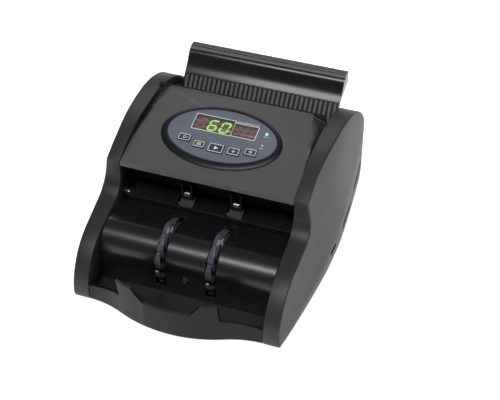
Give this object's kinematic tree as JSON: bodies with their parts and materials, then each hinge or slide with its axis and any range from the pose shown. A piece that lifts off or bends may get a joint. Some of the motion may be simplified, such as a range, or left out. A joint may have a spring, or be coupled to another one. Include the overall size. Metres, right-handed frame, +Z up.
{
  "type": "banknote counting machine",
  "caption": "Desktop banknote counter: rear feed hopper, sloping lid with an oval display and key panel, and a front pocket with bladed stacking wheels.",
  "frame": {"origin": "middle of the overall box, on the surface the rubber feet rest on", "axes": "+X to the right as seen from the front, +Y from the front pocket to the back, +Z up"},
  "size_m": [0.2322, 0.3002, 0.126],
  "materials": {
    "case": "fine-textured satin charcoal moulding",
    "gloss_case": "smooth black moulding with a soft sheen",
    "bezel": "polished dark blue-black",
    "overlay": "printed grey-blue film",
    "display": "unlit brown-red segments behind a tinted window",
    "lamp": "clear green lens",
    "key": "dark key with a pale outline",
    "board": "green laminate",
    "steel": "zinc-plated",
    "bronze": "sintered bronze",
    "belt": "moulded rubber",
    "motor_can": "plated can",
    "rubber": "ground rubber",
    "sensor": "black moulding",
    "tube": "coated glass",
    "core": "varnished laminations and winding",
    "wheel": "dark purple-grey moulding",
    "pulley": "moulded nylon",
    "bright": "polished"
  },
  "bodies": {
    "root": {"base_tray": "case", "left_side_cover": "case", "right_side_cover": "case", "front_apron": "case", "front_cover": "case", "panel_bezel": "bezel", "panel_overlay": "overlay", "count_display": "display", "batch_display": "display", "indicator_lamps": "lamp", "control_board": "board", "stacker_cover": "gloss_case", "hopper_chute": "case", "rear_cover": "case", "power_inlet": "bezel", "switch_frame": "bezel", "left_frame": "steel", "right_frame": "steel", "tie_bars": "steel", "lower_guide": "case", "upper_guide": "case", "shaft_bushes": "bronze", "feed_belt": "belt", "main_belt": "belt", "stacker_belt": "belt", "drive_motor": "motor_can", "separation_bracket": "case", "separation_roller": "rubber", "note_sensors": "sensor", "uv_lamp": "tube", "main_board": "board", "transformer": "core", "rubber_feet": "rubber", "case_screws": "steel"},
    "stacker": {"stacker_shaft": "steel", "left_stacker_wheel": "wheel", "right_stacker_wheel": "wheel", "stacker_pulley": "pulley"},
    "exit": {"exit_shaft": "steel", "exit_rollers": "rubber", "exit_pulley": "pulley"},
    "transport": {"transport_shaft": "steel", "transport_rollers": "rubber", "transport_pulley": "pulley"},
    "feed": {"feed_shaft": "steel", "feed_rollers": "rubber", "feed_pulley": "pulley"},
    "pickup": {"pickup_shaft": "steel", "pickup_rollers": "rubber", "pickup_pulley": "pulley"},
    "motor": {"motor_shaft": "steel", "motor_pulley": "pulley"},
    "pinch": {"pinch_rollers": "bright"},
    "rocker": {"power_rocker": "bezel"},
    "gap_screw": {"gap_knob": "sensor"},
    "mode_key": {"mode_key": "key"},
    "batch_key": {"batch_key": "key"},
    "start_key": {"start_key": "key"},
    "add_key": {"add_key": "key"},
    "uv_key": {"uv_key": "key"}
  },
  "joints": [
    {"name": "stacker_turn", "type": "hinge", "parent": "root", "child": "stacker", "pos_m": [0, -0.0793, 0.037], "axis": [1, 0, 0], "continuous": true},
    {"name": "exit_turn", "type": "hinge", "parent": "root", "child": "exit", "pos_m": [0, -0.0283, 0.0495], "axis": [1, 0, 0], "continuous": true},
    {"name": "transport_turn", "type": "hinge", "parent": "root", "child": "transport", "pos_m": [0, 0.0177, 0.053], "axis": [1, 0, 0], "continuous": true},
    {"name": "feed_turn", "type": "hinge", "parent": "root", "child": "feed", "pos_m": [0, 0.0737, 0.054], "axis": [1, 0, 0], "continuous": true},
    {"name": "pickup_turn", "type": "hinge", "parent": "root", "child": "pickup", "pos_m": [0, 0.1027, 0.0735], "axis": [1, 0, 0], "continuous": true},
    {"name": "motor_turn", "type": "hinge", "parent": "root", "child": "motor", "pos_m": [0, 0.0397, 0.026], "axis": [1, 0, 0], "continuous": true},
    {"name": "pinch_turn", "type": "hinge", "parent": "root", "child": "pinch", "pos_m": [0, -0.0283, 0.0646], "axis": [1, 0, 0], "continuous": true},
    {"name": "rocker_tilt", "type": "hinge", "parent": "root", "child": "rocker", "pos_m": [0.015, 0.1417, 0.02425], "axis": [1, 0, 0], "range_deg": [0, 14]},
    {"name": "gap_screw_turn", "type": "hinge", "parent": "root", "child": "gap_screw", "pos_m": [0, 0.0663, 0.095], "axis": [0, 0, 1], "range_deg": [-170, 170]},
    {"name": "mode_key_press", "type": "slide", "parent": "root", "child": "mode_key", "axis": [0, 0.2275, -0.9738], "range_m": [0, 0.0005], "stiffness_N_per_m": 500, "springref_m": -0.0005},
    {"name": "batch_key_press", "type": "slide", "parent": "root", "child": "batch_key", "axis": [0, 0.2275, -0.9738], "range_m": [0, 0.0005], "stiffness_N_per_m": 500, "springref_m": -0.0005},
    {"name": "start_key_press", "type": "slide", "parent": "root", "child": "start_key", "axis": [0, 0.2275, -0.9738], "range_m": [0, 0.0005], "stiffness_N_per_m": 500, "springref_m": -0.0005},
    {"name": "add_key_press", "type": "slide", "parent": "root", "child": "add_key", "axis": [0, 0.2275, -0.9738], "range_m": [0, 0.0005], "stiffness_N_per_m": 500, "springref_m": -0.0005},
    {"name": "uv_key_press", "type": "slide", "parent": "root", "child": "uv_key", "axis": [0, 0.2275, -0.9738], "range_m": [0, 0.0005], "stiffness_N_per_m": 500, "springref_m": -0.0005}
  ],
  "couplings": [
    {"joint": "motor_turn", "follows": "feed_turn", "ratio": 2},
    {"joint": "pickup_turn", "follows": "feed_turn", "ratio": 1.8462},
    {"joint": "transport_turn", "follows": "feed_turn", "ratio": 1.5},
    {"joint": "exit_turn", "follows": "feed_turn", "ratio": 1.5},
    {"joint": "stacker_turn", "follows": "feed_turn", "ratio": 1},
    {"joint": "pinch_turn", "follows": "feed_turn", "ratio": -3.4091}
  ]
}
